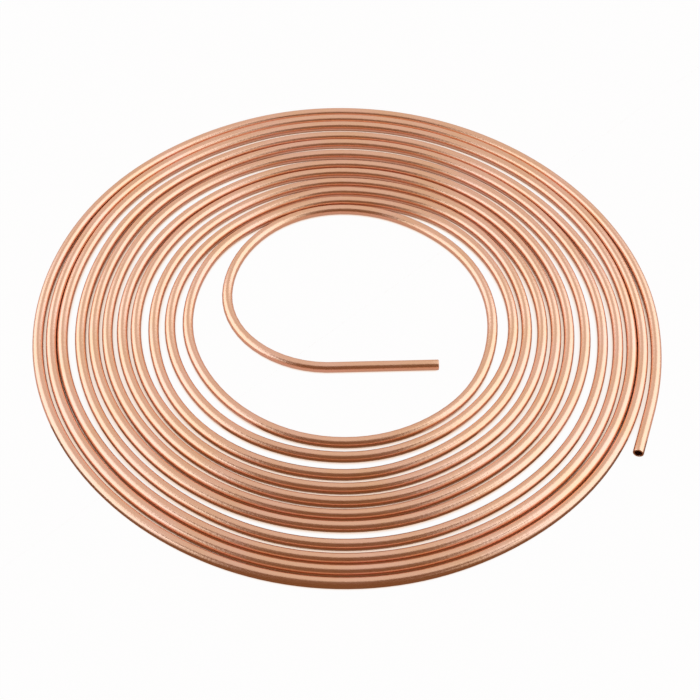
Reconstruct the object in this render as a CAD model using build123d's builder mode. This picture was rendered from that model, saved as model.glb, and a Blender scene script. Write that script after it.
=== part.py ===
"""A flat coil of thin copper tube, lying on the floor.

One length of soft drawn tube is wound outwards from its eye in a single open layer of nearly
twelve turns. The turns don't touch, and they are a little uneven, as they are when a coil is wound
by hand. The inner end turns back across the eye, and the outer end leaves the last turn and runs
straight. X is to the right, Y to the back and Z up, with the origin on the floor under the middle
of the coil.
"""
import os
from math import cos, radians

from build123d import *

# The tube, in millimetres
tube_diameter = 4.76
wall_thickness = 0.71
cut_rounding = 0.35
bore_chamfer = 0.12

# The coil: the middle of its eye to the centre line of the innermost turn, and the runs at its ends
eye_radius = 68.5
inner_run = 48.5
outer_run = 23.0

# How far each turn lies outside the one before it, as shares of the tube's diameter. Each row is one
# turn, clockwise from the back: back, back right, right, front right, front, front left, left, back
# left. The first row is counted from the eye's radius, and the last turn ends at the right.
turn_step_shares = (
    (0.35, 0.10, 0.00, 0.40, 0.45, 0.40, 0.60, 0.90),
    (1.25, 1.90, 2.00, 1.45, 1.60, 1.90, 1.70, 1.30),
    (1.40, 1.50, 1.30, 1.60, 1.90, 1.90, 1.55, 1.65),
    (1.35, 1.25, 1.50, 1.55, 1.45, 1.40, 1.70, 1.70),
    (1.50, 1.25, 1.30, 1.45, 1.40, 1.25, 1.30, 1.20),
    (1.25, 1.25, 1.25, 1.25, 1.35, 1.35, 1.40, 1.85),
    (1.55, 1.55, 1.55, 1.30, 1.20, 1.20, 1.30, 1.35),
    (1.70, 1.50, 1.65, 1.85, 1.80, 1.45, 1.25, 1.25),
    (1.15, 1.10, 1.45, 1.55, 1.40, 1.45, 1.70, 1.70),
    (1.70, 1.75, 1.30, 1.15, 1.15, 1.15, 1.05, 1.05),
    (1.10, 1.10, 1.05, 1.10, 1.20, 1.25, 1.25, 1.10),
    (1.05, 1.05, 1.25),
)

# The inner end in the eye, as shares of the eye's radius: where it lies furthest left, how far behind
# the middle that is, how far in front of the middle it crosses, and where it starts to run straight
tail_left_share = 0.795
tail_turn_share = 0.210
tail_front_share = 0.432
tail_straight_share = 0.117
tail_slant = 3.5

# The outer end bends on through this angle, at this share of the last turn's reach, and then runs straight
end_bend_share = 1.15
end_bend_angle = 18

places_a_turn = len(turn_step_shares[0])
quarter_turn = 90
turn_step = 360 / places_a_turn


def bend(start, heading, reach, next_reach, turn):
    """Two tangent arcs, each of half the turn, that start and end square to the reach from the middle.

    The radii differ from the mean reach by as much as moves the line from the one reach to the next.
    The last arc is given back.
    """
    half_turn = turn / 2
    rise = 1 - cos(radians(half_turn))
    mean_radius = (reach + next_reach) / 2
    spread = (next_reach - reach) / 2 * (1 - rise) / rise
    first = JernArc(start, heading, mean_radius + spread, half_turn)
    return JernArc(first @ 1, first % 1, mean_radius - spread, half_turn)


# The centre line's distances from the middle, in the order in which the tube passes them
reaches = []
turn_reaches = [eye_radius] * places_a_turn
for step_shares in turn_step_shares:
    turn_reaches = [reach + share * tube_diameter for reach, share in zip(turn_reaches, step_shares)]
    reaches += turn_reaches

outer_back, outer_right, outer_front, outer_left = (
    reaches[side::places_a_turn][-1] for side in range(0, places_a_turn, 2)
)
middle = Vector((outer_left - outer_right) / 2, (outer_front - outer_back) / 2, tube_diameter / 2)
eye_back = middle + Vector(0, reaches[0])

tail_left = tail_left_share * eye_radius
tail_turn = tail_turn_share * eye_radius
tail_front = tail_front_share * eye_radius
tail_straight = tail_straight_share * eye_radius

# The whole coil is one drawn tube: its ring section carried along the centre line
with BuildPart() as copper_tube:
    with BuildLine() as centre_line:
        # the inner end, from the back of the eye round its left side and across its front
        turned_left = bend(eye_back, (-1, 0), reaches[0] - tail_turn, tail_left, quarter_turn)
        crossing = bend(
            turned_left @ 1, turned_left % 1, tail_left - tail_straight, tail_turn + tail_front, quarter_turn
        )
        slant_arc = JernArc(crossing @ 1, crossing % 1, tail_left - tail_straight, tail_slant)
        PolarLine(slant_arc @ 1, inner_run, direction=slant_arc % 1)

        # the turns, from the back of the eye clockwise and outwards
        point, heading = eye_back, Vector(1, 0)
        for reach, next_reach in zip(reaches, reaches[1:]):
            last_bend = bend(point, heading, reach, next_reach, -turn_step)
            point, heading = last_bend @ 1, last_bend % 1

        # the outer end, which leaves the last turn
        end_bend = JernArc(point, heading, end_bend_share * outer_right, -end_bend_angle)
        PolarLine(end_bend @ 1, outer_run, direction=end_bend % 1)
    path = centre_line.wire()
    with BuildSketch(Plane(origin=path @ 0, z_dir=path % 0)):
        Circle(tube_diameter / 2)
        Circle(tube_diameter / 2 - wall_thickness, mode=Mode.SUBTRACT)
    sweep(path=path)

    # the cutter has rolled both ends round outside, and their bores are deburred
    rims = copper_tube.faces().filter_by(GeomType.PLANE).edges().group_by(SortBy.RADIUS)[-1]
    fillet(rims, cut_rounding)
    mouths = copper_tube.faces().filter_by(GeomType.PLANE).edges().group_by(SortBy.RADIUS)[0]
    chamfer(mouths, bore_chamfer)

os.makedirs("parts", exist_ok=True)
copper_tube.part.label = "copper_tube"
export_step(copper_tube.part, "parts/copper_tube.step")
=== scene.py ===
"""A flat coil of drawn soft copper tube on a white floor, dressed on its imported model."""
from math import radians

import bpy
import numpy as np
from mathutils import Matrix, Vector


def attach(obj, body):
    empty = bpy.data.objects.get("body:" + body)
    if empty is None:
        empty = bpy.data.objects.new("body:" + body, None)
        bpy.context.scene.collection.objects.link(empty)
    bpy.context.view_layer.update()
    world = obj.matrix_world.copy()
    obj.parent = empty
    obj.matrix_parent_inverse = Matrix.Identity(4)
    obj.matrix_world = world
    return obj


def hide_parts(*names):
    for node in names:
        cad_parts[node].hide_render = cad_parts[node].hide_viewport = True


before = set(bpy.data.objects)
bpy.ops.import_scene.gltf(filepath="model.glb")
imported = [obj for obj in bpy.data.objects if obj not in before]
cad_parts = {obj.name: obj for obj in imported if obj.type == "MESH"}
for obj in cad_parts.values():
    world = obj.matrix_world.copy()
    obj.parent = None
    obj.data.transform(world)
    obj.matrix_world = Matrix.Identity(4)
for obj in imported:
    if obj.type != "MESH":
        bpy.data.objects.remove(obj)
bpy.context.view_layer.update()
MM = 0.001

# The tube, in metres, as the part has it
TUBE_RADIUS = 2.38 * MM
WALL = 0.71 * MM
CUT_ROUNDING = 0.35 * MM
BORE_CHAMFER = 0.12 * MM

# The winding, as the part has it: the eye, the straight runs at both ends, and how far each turn lies
# outside the one before it, in tube diameters. Each row is one turn, clockwise from the back.
EYE_RADIUS = 68.5 * MM
INNER_RUN = 48.5 * MM
OUTER_RUN = 23.0 * MM
PLACES_A_TURN = 8
TURN_STEP_SHARES = (
    (0.35, 0.10, 0.00, 0.40, 0.45, 0.40, 0.60, 0.90),
    (1.25, 1.90, 2.00, 1.45, 1.60, 1.90, 1.70, 1.30),
    (1.40, 1.50, 1.30, 1.60, 1.90, 1.90, 1.55, 1.65),
    (1.35, 1.25, 1.50, 1.55, 1.45, 1.40, 1.70, 1.70),
    (1.50, 1.25, 1.30, 1.45, 1.40, 1.25, 1.30, 1.20),
    (1.25, 1.25, 1.25, 1.25, 1.35, 1.35, 1.40, 1.85),
    (1.55, 1.55, 1.55, 1.30, 1.20, 1.20, 1.30, 1.35),
    (1.70, 1.50, 1.65, 1.85, 1.80, 1.45, 1.25, 1.25),
    (1.15, 1.10, 1.45, 1.55, 1.40, 1.45, 1.70, 1.70),
    (1.70, 1.75, 1.30, 1.15, 1.15, 1.15, 1.05, 1.05),
    (1.10, 1.10, 1.05, 1.10, 1.20, 1.25, 1.25, 1.10),
    (1.05, 1.05, 1.25),
)

# The inner end in the eye, in eye radii: where it lies furthest left, how far behind the middle that is,
# how far in front of the middle it crosses, and where it starts to run straight. Its slant is in degrees.
TAIL_LEFT_SHARE = 0.795
TAIL_TURN_SHARE = 0.210
TAIL_FRONT_SHARE = 0.432
TAIL_STRAIGHT_SHARE = 0.117
TAIL_SLANT = 3.5

# The outer end bends on through this angle, in degrees, at this share of the last turn's reach
END_BEND_SHARE = 1.15
END_BEND_ANGLE = 18

# The surface's grid: sides round the tube, how far apart its rings stand outside and in the bore, and the
# rings on a rim. Edges that bend by more degrees than this stay sharp.
SIDES = 36
RING_SPACING = 5 * MM
BORE_RING_SPACING = 10 * MM
ROUNDING_RINGS = 5
SHARP_ANGLE = 30
SURFACE_MAP = "tube"

# The copper: its two colours, the clouds in which they change, and how rough its satin is
PINK_COPPER = "#F8C6AE"
GOLDEN_COPPER = "#F5C3A2"
CLOUD_SIZE = 25 * MM
CLOUD_EDGES = (0.35, 0.65)
SATIN_ROUGHNESS = (0.22, 0.32)

# The marks of the drawing: fine lines along the tube, and fainter ripples across it. Both are drawn coarser
# than real ones so that they show.
DIE_LINE_LENGTH = 40 * MM
DIE_LINE_SPACING = 0.45 * MM
DIE_LINE_DEPTH = 0.012 * MM
DIE_LINE_EDGES = (0.3, 0.7)
RIPPLE_SPACING = 1.4 * MM
RIPPLE_LENGTH = 3 * MM
RIPPLE_DEPTH = 0.06 * MM

# The floor, and how far off a turn still takes some of its sky
FLOOR_HALF_WIDTH = 20.0
GAP_REACH = 30 * MM
OPENNESS_SAMPLES = 32
# Its free share of sky: painted brown shade up to the first, white in warm light from the second, and clear
# white from the third
SHADED_OPENNESS = 0.10
WHITE_OPENNESS = 0.165
CLEAR_OPENNESS = 0.45
# the paper's brown is painted shade, warm as if lit by the copper
PAINTED_GAP_SHADE = "#B87850"
WARM_WHITE = "#F4D8C2"
CLEAR_WHITE = "#FFFFFF"
# How much of that white the eye sees, and how much the metal, whose smaller share is a painted darker
# reflection of the floor
WHITE_SHARE_TO_EYE = 0.98
WHITE_SHARE_IN_METAL = 0.35

# The hood of painted dark reflection, in metres and degrees: where its sheet starts on the floor, in front
# of the coil's middle, and the arc on which it leaves the floor
HOOD_FRONT = -0.065
HOOD_MIDDLE = -0.55
HOOD_RADIUS = 0.416
HOOD_TURN = 237
HOOD_WIDTH = 1.4
HOOD_LIFT = 0.1 * MM
HOOD_ARC_POINTS = 33
# the sheet's dim brown glow, a painted dark reflection in the copper
PAINTED_REFLECTION_BROWN = "#7F5E43"

# The room's even light and the softboxes, which are a little bluer. Each softbox has an azimuth, counted
# from the back to the right, and an elevation, in degrees, then its width and height, in metres.
ROOM_COLOUR = "#FEF6ED"
ROOM_STRENGTH = 0.735
SOFTBOX_COLOUR = "#CEEEFF"
SOFTBOX_DISTANCE = 1.0
SOFTBOX_RADIANCE = 1.0
SOFTBOXES = {
    "softbox_left": (-85, 27, 1.65, 1.15),
    "softbox_right": (79, 36, 1.55, 1.2),
}

# The camera, measured on the photograph: its aim is a point of the floor, counted from the winding's middle,
# its angles are in degrees, and its lens and sensor in millimetres
CAMERA_AIM = (3.37 * MM, -17.22 * MM)
CAMERA_DISTANCE = 646.0 * MM
CAMERA_ELEVATION = 50.52
CAMERA_ROLL = 1.39
CAMERA_LENS = 73.26
CAMERA_SENSOR = 36


def reaches_from_middle():
    """The centre line's distances from the winding's middle, in the order in which the tube passes them.

    Each place's distance is the eye's radius and the steps of the turns up to it, added up.
    """
    *whole_turns, last_turn = TURN_STEP_SHARES
    steps = np.array(whole_turns) * 2 * TUBE_RADIUS
    whole = EYE_RADIUS + np.cumsum(steps, axis=0)
    last = whole[-1, : len(last_turn)] + np.array(last_turn) * 2 * TUBE_RADIUS
    return np.concatenate([whole.ravel(), last])


def bend_radii(reaches, next_reaches, turn):
    """Radii of the two tangent arcs of each bend, first and last, which end square to the reaches.

    They lie as far above and below the mean reach as moves the line from the one reach to the next.
    """
    rise = 1 - np.cos(turn / 2)
    mean = (reaches + next_reaches) / 2
    spread = (next_reaches - reaches) / 2 * (1 - rise) / rise
    return np.stack([mean + spread, mean - spread], axis=-1).ravel()


class ArcChain:
    """A line of tangent arcs with a straight run at its end, all in the floor's plane."""

    def __init__(self, start, heading, radii, turns, run):
        """Turns are in radians, to the left where positive, and each arc starts where the last one ends.

        An arc's chord is its radius times the change of its heading's sine, and of its cosine turned round.
        """
        self.radii = np.abs(radii) * np.sign(turns)
        self.headings = heading + np.concatenate([[0], np.cumsum(turns)])
        chords = self.radii[:, None] * np.stack(
            [np.diff(np.sin(self.headings)), -np.diff(np.cos(self.headings))], axis=-1
        )
        self.joins = np.asarray(start) + np.concatenate([[(0, 0)], np.cumsum(chords, axis=0)])
        self.join_distances = np.concatenate([[0], np.cumsum(np.abs(radii * turns))])
        self.arcs_length = self.join_distances[-1]
        self.length = self.arcs_length + run

    def at(self, distance):
        """Points and headings at those distances: round the arc that each is on, or out along the run."""
        passed_joins = np.searchsorted(self.join_distances, distance, side="right")
        arc = np.clip(passed_joins - 1, 0, len(self.radii) - 1)
        on_arc = np.minimum(distance, self.arcs_length) - self.join_distances[arc]
        before = self.headings[arc]
        heading = before + on_arc / self.radii[arc]
        round_arc = np.stack([np.sin(heading) - np.sin(before), np.cos(before) - np.cos(heading)], axis=-1)
        past_arcs = np.maximum(distance - self.arcs_length, 0)
        along_run = past_arcs[:, None] * np.stack([np.cos(heading), np.sin(heading)], axis=-1)
        return self.joins[arc] + self.radii[arc, None] * round_arc + along_run, heading


def winding():
    """The winding's middle, and the chains that leave the back of the eye: the inner end and the turns."""
    reaches = reaches_from_middle()
    back, right, front, left = (reaches[side::PLACES_A_TURN][-1] for side in range(0, PLACES_A_TURN, 2))
    middle = np.array([left - right, front - back]) / 2
    eye_back = middle + (0, reaches[0])

    quarter = np.pi / 2
    shares = np.array([TAIL_LEFT_SHARE, TAIL_TURN_SHARE, TAIL_FRONT_SHARE, TAIL_STRAIGHT_SHARE])
    tail_left, tail_turn, tail_front, tail_straight = shares * EYE_RADIUS
    tail_radii = bend_radii(
        np.array([reaches[0] - tail_turn, tail_left - tail_straight]),
        np.array([tail_left, tail_turn + tail_front]),
        quarter,
    )
    inner_end = ArcChain(
        eye_back,
        np.pi,
        np.append(tail_radii, tail_left - tail_straight),
        np.append(np.full(len(tail_radii), quarter / 2), radians(TAIL_SLANT)),
        INNER_RUN,
    )

    turn_step = 2 * np.pi / PLACES_A_TURN
    turn_radii = bend_radii(reaches[:-1], reaches[1:], turn_step)
    turns = ArcChain(
        eye_back,
        0.0,
        np.append(turn_radii, END_BEND_SHARE * right),
        -np.append(np.full(len(turn_radii), turn_step / 2), radians(END_BEND_ANGLE)),
        OUTER_RUN,
    )
    return middle, inner_end, turns


def centre_line(inner_end, turns, distance):
    """Points and headings at distances from the inner cut: back along its chain, then along the turns."""
    on_inner = distance < inner_end.length
    inner_points, inner_headings = inner_end.at(np.maximum(inner_end.length - distance, 0))
    turn_points, turn_headings = turns.at(np.maximum(distance - inner_end.length, 0))
    points = np.where(on_inner[:, None], inner_points, turn_points)
    return points, np.where(on_inner, inner_headings + np.pi, turn_headings)


def tube_profile(length):
    """The wall's outline cut lengthwise, as distances along the tube and radii, and closed on itself.

    It runs out along the outside, round the far rim and over the chamfer of its bore, back along the bore
    and over the near cut. A rim is a quarter circle: sine along the tube, cosine across it.
    """
    bore_radius = TUBE_RADIUS - WALL
    mouth_radius = bore_radius + BORE_CHAMFER
    outside = np.linspace(CUT_ROUNDING, length - CUT_ROUNDING, round(length / RING_SPACING))
    bore = np.linspace(length - BORE_CHAMFER, BORE_CHAMFER, round(length / BORE_RING_SPACING))
    quarter = np.linspace(0, np.pi / 2, ROUNDING_RINGS + 1)[1:]
    rim_distance = CUT_ROUNDING * (1 - np.sin(quarter))
    rim_radius = TUBE_RADIUS - CUT_ROUNDING * (1 - np.cos(quarter))
    distance = np.concatenate([outside, length - rim_distance, [length], bore, [0], rim_distance[::-1]])
    radius = np.concatenate(
        [
            np.full(len(outside), TUBE_RADIUS),
            rim_radius,
            [mouth_radius],
            np.full(len(bore), bore_radius),
            [mouth_radius],
            rim_radius[::-1],
        ]
    )
    return distance, radius


def tube_surface(inner_end, turns):
    """The whole tube as a grid: each point of the profile is a ring round the centre line.

    A ring's point is the centre, and the radius times the cosine of its angle to the side and the sine
    of its angle up. The rings start underneath, where the seam of the surface map can't be seen. The map
    holds the distance along the tube and round it, in metres.
    """
    distance, radius = tube_profile(inner_end.length + turns.length)
    points, headings = centre_line(inner_end, turns, distance)
    angle = -np.pi / 2 + 2 * np.pi * np.arange(SIDES) / SIDES
    side = np.stack([np.sin(headings), -np.cos(headings), np.zeros_like(headings)], axis=-1)
    up = np.array([0.0, 0.0, 1.0])
    centres = np.column_stack([points, np.full(len(points), TUBE_RADIUS)])
    out = side[:, None] * np.cos(angle)[None, :, None] + up * np.sin(angle)[None, :, None]
    vertices = (centres[:, None] + radius[:, None, None] * out).reshape(-1, 3)

    ring = np.arange(len(distance))[:, None]
    spoke = np.arange(SIDES)[None]
    next_ring = (ring + 1) % len(distance)
    next_spoke = (spoke + 1) % SIDES
    corners = [(ring, spoke), (ring, next_spoke), (next_ring, next_spoke), (next_ring, spoke)]
    faces = np.stack([r * SIDES + s for r, s in corners], axis=-1).reshape(-1, 4)
    round_tube = TUBE_RADIUS * 2 * np.pi / SIDES * np.stack(
        np.broadcast_arrays(spoke, spoke + 1, spoke + 1, spoke), axis=-1
    )
    along_tube = np.stack([distance[r] for r in (ring, ring, next_ring, next_ring)], axis=-1)
    surface_map = np.stack(np.broadcast_arrays(along_tube, round_tube), axis=-1).reshape(-1, 2)
    return vertices, faces, surface_map


def linear(hex_colour):
    """An sRGB hex colour as linear red, green, blue and alpha."""
    channels = np.array([int(hex_colour[i : i + 2], 16) for i in (1, 3, 5)]) / 255
    low = channels / 12.92
    high = ((channels + 0.055) / 1.055) ** 2.4
    return (*np.where(channels <= 0.04045, low, high), 1.0)


def add_node(tree, kind, links=None, inputs=None, **settings):
    """Adds a node with its settings, the values of its inputs, and links from other nodes' sockets."""
    node = tree.nodes.new(kind)
    for name, value in settings.items():
        setattr(node, name, value)
    for name, value in (inputs or {}).items():
        node.inputs[name].default_value = value
    for name, socket in (links or {}).items():
        tree.links.new(socket, node.inputs[name])
    return node


def new_material(name):
    """A material and its node tree, which is empty."""
    material = bpy.data.materials.new(name)
    material.use_nodes = True
    material.node_tree.nodes.clear()
    return material, material.node_tree


def draw_marks(tree, length, breadth, detail):
    """Noise on the surface map, in marks of that length along the tube and that breadth round it."""
    surface_map = add_node(tree, "ShaderNodeUVMap", uv_map=SURFACE_MAP)
    stretched = add_node(
        tree,
        "ShaderNodeMapping",
        {"Vector": surface_map.outputs["UV"]},
        {"Scale": (1 / length, 1 / breadth, 1.0)},
    )
    marks = add_node(
        tree, "ShaderNodeTexNoise", {"Vector": stretched.outputs["Vector"]}, {"Scale": 1.0, "Detail": detail}
    )
    return marks.outputs["Fac"]


def drawn_soft_copper():
    """Bright annealed copper, drawn through a die: satin, pink to golden, with fine marks of the drawing."""
    material, tree = new_material("drawn_soft_copper")

    # a breath of oxide turns the pink metal golden in soft clouds
    place = add_node(tree, "ShaderNodeTexCoord")
    clouds = add_node(
        tree,
        "ShaderNodeTexNoise",
        {"Vector": place.outputs["Object"]},
        {"Scale": 1 / CLOUD_SIZE, "Detail": 3.0},
    )
    golden = add_node(
        tree,
        "ShaderNodeMapRange",
        {"Value": clouds.outputs["Fac"]},
        {"From Min": CLOUD_EDGES[0], "From Max": CLOUD_EDGES[1]},
    )
    colour = add_node(
        tree,
        "ShaderNodeMix",
        {"Factor": golden.outputs["Result"]},
        {"A": linear(PINK_COPPER), "B": linear(GOLDEN_COPPER)},
        data_type="RGBA",
    )

    # the die has left lines along the tube, which are rougher and smoother by turns
    die_lines = draw_marks(tree, DIE_LINE_LENGTH, DIE_LINE_SPACING, 2.0)
    roughness = add_node(
        tree,
        "ShaderNodeMapRange",
        {"Value": die_lines},
        {
            "From Min": DIE_LINE_EDGES[0],
            "From Max": DIE_LINE_EDGES[1],
            "To Min": SATIN_ROUGHNESS[0],
            "To Max": SATIN_ROUGHNESS[1],
        },
    )
    lined = add_node(
        tree, "ShaderNodeBump", {"Height": die_lines}, {"Strength": 1.0, "Distance": DIE_LINE_DEPTH}
    )

    # the draw has chattered a little, which leaves ripples across the tube
    chatter = draw_marks(tree, RIPPLE_SPACING, RIPPLE_LENGTH, 3.0)
    rippled = add_node(
        tree,
        "ShaderNodeBump",
        {"Height": chatter, "Normal": lined.outputs["Normal"]},
        {"Strength": 1.0, "Distance": RIPPLE_DEPTH},
    )
    copper = add_node(
        tree,
        "ShaderNodeBsdfPrincipled",
        {
            "Base Color": colour.outputs["Result"],
            "Roughness": roughness.outputs["Result"],
            "Normal": rippled.outputs["Normal"],
        },
        {"Metallic": 1.0},
    )
    add_node(tree, "ShaderNodeOutputMaterial", {"Surface": copper.outputs["BSDF"]})
    return material


def make_object(name, vertices, faces):
    """A mesh object at the origin from arrays of vertices and faces."""
    mesh = bpy.data.meshes.new(name)
    mesh.from_pydata(vertices.tolist(), [], faces.tolist())
    piece = bpy.data.objects.new(name, mesh)
    bpy.context.scene.collection.objects.link(piece)
    return piece


def copper_coil(inner_end, turns):
    """The coil itself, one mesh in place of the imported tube."""
    vertices, faces, surface_map = tube_surface(inner_end, turns)
    piece = make_object("copper_coil", vertices, faces)
    uv_layer = piece.data.uv_layers.new(name=SURFACE_MAP)
    uv_layer.data.foreach_set("uv", surface_map.ravel())
    piece.data.shade_smooth()
    piece.data.set_sharp_from_angle(angle=radians(SHARP_ANGLE))
    piece.data.materials.append(drawn_soft_copper())
    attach(piece, "root")
    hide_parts("copper_tube")


def white_floor():
    """A paper floor that is plain white where it lies open, and shows a painted brown shade between close
    turns.

    A point's openness is the share of sky that the turns near it leave free, and it sets where that shade is
    painted. The eye sees nearly all of the white, and the metal a smaller share of it, a painted darker
    reflection.
    """
    corners = FLOOR_HALF_WIDTH * np.array([(-1, -1, 0), (1, -1, 0), (1, 1, 0), (-1, 1, 0)])
    floor = make_object("floor", corners, np.array([[0, 1, 2, 3]]))
    material, tree = new_material("white_paper_floor")
    # the openness masks where painted brown shade takes the white's place
    openness = add_node(
        tree, "ShaderNodeAmbientOcclusion", inputs={"Distance": GAP_REACH}, samples=OPENNESS_SAMPLES
    )
    whiteness, clearness = (
        add_node(
            tree,
            "ShaderNodeMapRange",
            {"Value": openness.outputs["AO"]},
            {"From Min": least, "From Max": most},
            interpolation_type="SMOOTHSTEP",
        )
        for least, most in ((SHADED_OPENNESS, WHITE_OPENNESS), (WHITE_OPENNESS, CLEAR_OPENNESS))
    )

    # the light that the turns throw on the floor beside them is warm
    light = add_node(
        tree,
        "ShaderNodeMix",
        {"Factor": clearness.outputs["Result"]},
        {"A": linear(WARM_WHITE), "B": linear(CLEAR_WHITE)},
        data_type="RGBA",
    )
    white = add_node(tree, "ShaderNodeEmission", {"Color": light.outputs["Result"]}, {"Strength": 1.0})
    # its brown is painted shade between close turns
    paper = add_node(tree, "ShaderNodeBsdfDiffuse", inputs={"Color": linear(PAINTED_GAP_SHADE)})

    # what the eye sees, straight or through something clear, and what the metal sees
    rays = add_node(tree, "ShaderNodeLightPath")
    seen = add_node(
        tree,
        "ShaderNodeMath",
        {0: rays.outputs["Is Camera Ray"], 1: rays.outputs["Is Transmission Ray"]},
        operation="ADD",
    )
    # the metal sees less of the white: a painted darker reflection of the floor
    seen_in_metal = add_node(
        tree,
        "ShaderNodeMath",
        {0: rays.outputs["Is Glossy Ray"]},
        {1: WHITE_SHARE_IN_METAL},
        operation="MULTIPLY",
    )
    seen_at_all = add_node(
        tree,
        "ShaderNodeMath",
        {0: seen.outputs["Value"], 2: seen_in_metal.outputs["Value"]},
        {1: WHITE_SHARE_TO_EYE},
        operation="MULTIPLY_ADD",
    )
    white_share = add_node(
        tree,
        "ShaderNodeMath",
        {0: seen_at_all.outputs["Value"], 1: whiteness.outputs["Result"]},
        operation="MULTIPLY",
    )
    surface = add_node(
        tree,
        "ShaderNodeMixShader",
        {0: white_share.outputs["Value"], 1: paper.outputs["BSDF"], 2: white.outputs["Emission"]},
    )
    add_node(tree, "ShaderNodeOutputMaterial", {"Surface": surface.outputs["Shader"]})
    floor.data.materials.append(material)


def painted_reflection_hood():
    """A painted dark reflection: a glowing dim brown sheet that runs along the floor in front and curls up
    and over the camera.

    Its profile is a straight run and an arc of a circle that touches the floor, carried across the studio.
    Only the metal sees it, so it paints dark reflections into the copper.
    """
    angle = np.linspace(-np.pi / 2, -np.pi / 2 - radians(HOOD_TURN), HOOD_ARC_POINTS)
    y = np.append(HOOD_FRONT, HOOD_MIDDLE + HOOD_RADIUS * np.cos(angle))
    z = HOOD_LIFT + np.append(0, HOOD_RADIUS * (1 + np.sin(angle)))
    left = np.column_stack([np.full(len(y), -HOOD_WIDTH / 2), y, z])
    right = left * (-1, 1, 1)
    row = np.arange(len(y) - 1)
    faces = np.column_stack([row, row + 1, row + 1 + len(y), row + len(y)])
    hood = make_object("painted_reflection_hood", np.concatenate([left, right]), faces)
    material, tree = new_material("painted_dark_reflection")
    # the sheet glows a dim brown, which paints dark reflections into the copper
    painted_dark_glow = add_node(tree, "ShaderNodeEmission", inputs={"Color": linear(PAINTED_REFLECTION_BROWN), "Strength": 1.0})
    add_node(tree, "ShaderNodeOutputMaterial", {"Surface": painted_dark_glow.outputs["Emission"]})
    hood.data.materials.append(material)
    hood.visible_camera = False
    hood.visible_diffuse = False
    hood.visible_transmission = False
    hood.visible_shadow = False


def softbox(name, azimuth, elevation, width, height):
    """A rectangular lamp that points at the coil. Its power is its radiance times pi and its area."""
    lamp_data = bpy.data.lights.new(name, "AREA")
    lamp_data.shape = "RECTANGLE"
    lamp_data.size = width
    lamp_data.size_y = height
    lamp_data.energy = SOFTBOX_RADIANCE * np.pi * width * height
    lamp_data.color = linear(SOFTBOX_COLOUR)[:3]
    lamp = bpy.data.objects.new(name, lamp_data)
    turn = Matrix.Rotation(radians(-azimuth), 4, "Z") @ Matrix.Rotation(radians(elevation), 4, "X")
    lamp.location = turn @ Vector((0, SOFTBOX_DISTANCE, 0))
    lamp.rotation_euler = (-lamp.location).to_track_quat("-Z", "Y").to_euler()
    lamp.visible_camera = False
    bpy.context.scene.collection.objects.link(lamp)


def studio():
    """An even, slightly warm room with a softbox at each side."""
    world = bpy.data.worlds.new("studio")
    bpy.context.scene.world = world
    world.use_nodes = True
    tree = world.node_tree
    tree.nodes.clear()
    room = add_node(
        tree, "ShaderNodeBackground", inputs={"Color": linear(ROOM_COLOUR), "Strength": ROOM_STRENGTH}
    )
    add_node(tree, "ShaderNodeOutputWorld", {"Surface": room.outputs["Background"]})
    for name, placing in SOFTBOXES.items():
        softbox(name, *placing)


def photo_camera(middle):
    """The camera at the photograph's place, looking down at the coil from the front."""
    camera_data = bpy.data.cameras.new("photo_camera")
    camera_data.lens = CAMERA_LENS
    camera_data.sensor_width = CAMERA_SENSOR
    camera = bpy.data.objects.new("photo_camera", camera_data)
    tilt = Matrix.Rotation(radians(90 - CAMERA_ELEVATION), 4, "X")
    roll = Matrix.Rotation(radians(CAMERA_ROLL), 4, "Z")
    aim = Vector((*(middle + CAMERA_AIM), 0))
    back = tilt @ Vector((0, 0, 1))
    camera.matrix_world = Matrix.Translation(aim + back * CAMERA_DISTANCE) @ tilt @ roll
    bpy.context.scene.collection.objects.link(camera)
    bpy.context.scene.camera = camera


bpy.context.scene.view_settings.view_transform = "Standard"
middle, inner_end, turns = winding()
white_floor()
painted_reflection_hood()
studio()
copper_coil(inner_end, turns)
photo_camera(middle)

bpy.context.view_layer.update()
